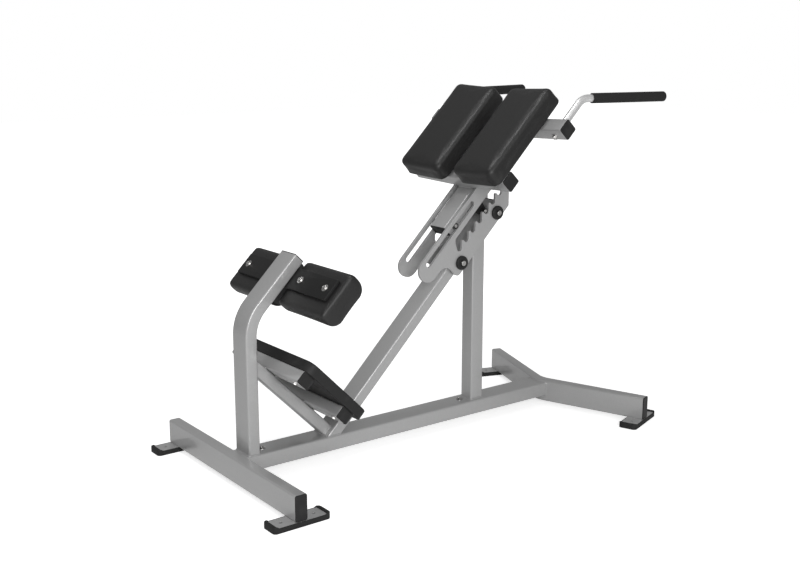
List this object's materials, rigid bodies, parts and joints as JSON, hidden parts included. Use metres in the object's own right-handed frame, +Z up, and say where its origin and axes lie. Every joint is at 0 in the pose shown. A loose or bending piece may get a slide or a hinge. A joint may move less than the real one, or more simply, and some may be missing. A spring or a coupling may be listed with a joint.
{
  "type": "hyperextension bench",
  "caption": "Free-standing 45-degree hyperextension bench with hip pads on a notched sliding carriage, ankle roll pads, a tilted foot plate and two handles.",
  "frame": {"origin": "on the floor, under the centre of the outline", "axes": "+X towards the handles, +Y to the left of a user facing +X, +Z up"},
  "size_m": [1.6184, 0.857, 1.182],
  "materials": {
    "silver_paint": "satin silver powder coat",
    "black_paint": "satin black powder coat",
    "black_plastic": "fine-grained moulded plastic",
    "black_rubber": "matt moulded rubber",
    "black_vinyl": "grained upholstery vinyl",
    "bright_plate": "bright plated steel"
  },
  "bodies": {
    "frame": {"ankle_bolt_inner_left": "bright_plate", "ankle_bolt_inner_right": "bright_plate", "ankle_bolt_outer_left": "bright_plate", "ankle_bolt_outer_right": "bright_plate", "ankle_pad_left": "black_vinyl", "ankle_pad_right": "black_vinyl", "ankle_plate": "black_paint", "crossbar_lower": "silver_paint", "crossbar_lower_cap_left": "black_plastic", "crossbar_lower_cap_right": "black_plastic", "crossbar_upper": "silver_paint", "crossbar_upper_cap_left": "black_plastic", "crossbar_upper_cap_right": "black_plastic", "diagonal_tube": "silver_paint", "diagonal_tube_cap": "black_plastic", "foot_plate": "black_rubber", "foot_support": "silver_paint", "front_foot_rubber_left": "black_rubber", "front_foot_rubber_right": "black_rubber", "front_stabiliser": "silver_paint", "front_stabiliser_cap_left": "black_plastic", "front_stabiliser_cap_right": "black_plastic", "front_upright": "silver_paint", "main_beam": "silver_paint", "rear_foot_rubber_left": "black_rubber", "rear_foot_rubber_right": "black_rubber", "rear_stabiliser": "silver_paint", "rear_stabiliser_cap_left": "black_plastic", "rear_stabiliser_cap_right": "black_plastic", "rear_upright": "silver_paint", "rear_upright_cap": "black_plastic", "side_plate_left": "silver_paint", "side_plate_right": "silver_paint", "tie_bolt_lower": "bright_plate", "tie_bolt_upper": "bright_plate", "tie_cap_lower_left": "black_plastic", "tie_cap_lower_right": "black_plastic", "tie_cap_upper_left": "black_plastic", "tie_cap_upper_right": "black_plastic"},
    "slider": {"guide_pin": "bright_plate", "guide_roller_left": "black_plastic", "guide_roller_right": "black_plastic"},
    "carriage": {"carriage_cap": "black_plastic", "carriage_tube": "silver_paint", "cross_tube_lower": "silver_paint", "cross_tube_lower_cap_left": "black_plastic", "cross_tube_lower_cap_right": "black_plastic", "cross_tube_upper": "silver_paint", "cross_tube_upper_cap_left": "black_plastic", "cross_tube_upper_cap_right": "black_plastic", "grip_left": "black_rubber", "grip_right": "black_rubber", "handle_bolt_left": "bright_plate", "handle_bolt_right": "bright_plate", "handle_left": "bright_plate", "handle_right": "bright_plate", "hip_pad_left": "black_vinyl", "hip_pad_right": "black_vinyl", "lock_bracket": "black_paint", "lock_pin": "bright_plate"}
  },
  "joints": [
    {"name": "height_slide", "type": "slide", "parent": "frame", "child": "slider", "axis": [0.7071, 0, 0.7071], "range_m": [-0.1656, 0.0828]},
    {"name": "pad_tilt", "type": "hinge", "parent": "slider", "child": "carriage", "pos_m": [0.12024, 0, 0.72703], "axis": [0, -1, 0], "range_deg": [0, 9.3]}
  ]
}
